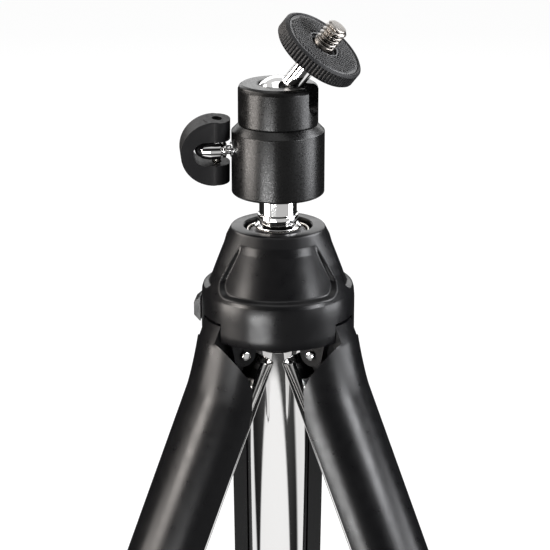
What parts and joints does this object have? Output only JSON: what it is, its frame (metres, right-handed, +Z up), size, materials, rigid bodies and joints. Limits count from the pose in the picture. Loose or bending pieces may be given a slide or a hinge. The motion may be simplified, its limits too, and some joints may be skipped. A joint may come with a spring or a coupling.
{
  "type": "tabletop tripod with ball head",
  "caption": "Folding tabletop tripod with half-round telescopic legs and a lockable ball head carrying a threaded camera platform.",
  "frame": {"origin": "on the floor, centred under the tripod's footprint with its legs open and collapsed", "axes": "+Z up along the tripod's axis, +Y towards the rear leg, +X to the right as seen from between the two front legs"},
  "size_m": [0.134, 0.1198, 0.2239],
  "materials": {
    "chrome": "bright polished plating",
    "steel": "plain machined",
    "black_paint": "satin powder coat with a fine grain",
    "black_plastic": "satin moulded",
    "matte_plastic": "matt moulded",
    "rubber": "matt",
    "nylon": "plain moulded"
  },
  "bodies": {
    "hub": {"crown": "black_plastic", "post_bush": "nylon", "retaining_ring": "steel", "hub_cap": "black_plastic", "strap_lug": "black_plastic", "hinge_pin_rear": "chrome", "hinge_pin_left": "chrome", "hinge_pin_right": "chrome"},
    "head": {"post": "chrome", "post_nut": "steel", "barrel": "black_paint", "collar": "black_paint"},
    "seat": {"ball_seat": "nylon"},
    "stem": {"ball_stem": "chrome", "camera_stud": "steel"},
    "platform": {"platform_disc": "matte_plastic", "platform_pad": "rubber"},
    "lock_pin": {"pressure_pin": "steel"},
    "lock": {"lock_screw": "chrome"},
    "bail": {"lock_bail": "matte_plastic", "bail_pin": "steel"},
    "leg_rear": {"leg_shell_rear": "black_plastic", "leg_tube_rear": "chrome", "tube_plug_rear": "nylon", "plug_screw_rear": "steel", "leg_end_cap_rear": "black_plastic"},
    "extension_rear": {"extension_tube_rear": "chrome", "extension_plug_rear": "nylon", "foot_rear": "rubber"},
    "leg_left": {"leg_shell_left": "black_plastic", "leg_tube_left": "chrome", "tube_plug_left": "nylon", "plug_screw_left": "steel", "leg_end_cap_left": "black_plastic"},
    "extension_left": {"extension_tube_left": "chrome", "extension_plug_left": "nylon", "foot_left": "rubber"},
    "leg_right": {"leg_shell_right": "black_plastic", "leg_tube_right": "chrome", "tube_plug_right": "nylon", "plug_screw_right": "steel", "leg_end_cap_right": "black_plastic"},
    "extension_right": {"extension_tube_right": "chrome", "extension_plug_right": "nylon", "foot_right": "rubber"}
  },
  "joints": [
    {"name": "head_pan", "type": "hinge", "parent": "hub", "child": "head", "pos_m": [0, -0.01644, 0.16365], "axis": [0, 0, 1], "continuous": true},
    {"name": "ball_tilt", "type": "hinge", "parent": "head", "child": "stem", "pos_m": [0, -0.01644, 0.19935], "axis": [0.4067, 0.9135, 0], "range_deg": [-61, 50]},
    {"name": "platform_spin", "type": "hinge", "parent": "stem", "child": "platform", "pos_m": [0, -0.01644, 0.19935], "axis": [0.5749, -0.256, 0.7771], "continuous": true},
    {"name": "lock_advance", "type": "slide", "parent": "head", "child": "lock_pin", "axis": [-0.9945, -0.1045, 0], "range_m": [0, 0.0008]},
    {"name": "lock_turn", "type": "hinge", "parent": "lock_pin", "child": "lock", "pos_m": [0, -0.01644, 0.18585], "axis": [-0.9945, -0.1045, 0], "range_deg": [0, 360]},
    {"name": "seat_drop", "type": "slide", "parent": "head", "child": "seat", "axis": [0, 0, -1], "range_m": [0, 0.00021]},
    {"name": "bail_swing", "type": "hinge", "parent": "lock", "child": "bail", "pos_m": [-0.01701, -0.01823, 0.18585], "axis": [0.0164, -0.1556, 0.9877], "range_deg": [-85, 85]},
    {"name": "fold_rear", "type": "hinge", "parent": "hub", "child": "leg_rear", "pos_m": [0, -0.00144, 0.12945], "axis": [-1, 0, 0], "range_deg": [0, 22.7]},
    {"name": "fold_left", "type": "hinge", "parent": "hub", "child": "leg_left", "pos_m": [-0.01299, -0.02394, 0.12945], "axis": [0.5, -0.866, 0], "range_deg": [0, 22.7]},
    {"name": "fold_right", "type": "hinge", "parent": "hub", "child": "leg_right", "pos_m": [0.01299, -0.02394, 0.12945], "axis": [0.5, 0.866, 0], "range_deg": [0, 22.7]},
    {"name": "extend_rear", "type": "slide", "parent": "leg_rear", "child": "extension_rear", "axis": [0, 0.3907, -0.9205], "range_m": [0, 0.06]},
    {"name": "extend_left", "type": "slide", "parent": "leg_left", "child": "extension_left", "axis": [-0.3384, -0.1954, -0.9205], "range_m": [0, 0.06]},
    {"name": "extend_right", "type": "slide", "parent": "leg_right", "child": "extension_right", "axis": [0.3384, -0.1954, -0.9205], "range_m": [0, 0.06]}
  ],
  "couplings": [
    {"joint": "lock_turn", "follows": "lock_advance", "rad_per_m": 7854},
    {"joint": "seat_drop", "follows": "lock_advance", "ratio": 0.25}
  ]
}
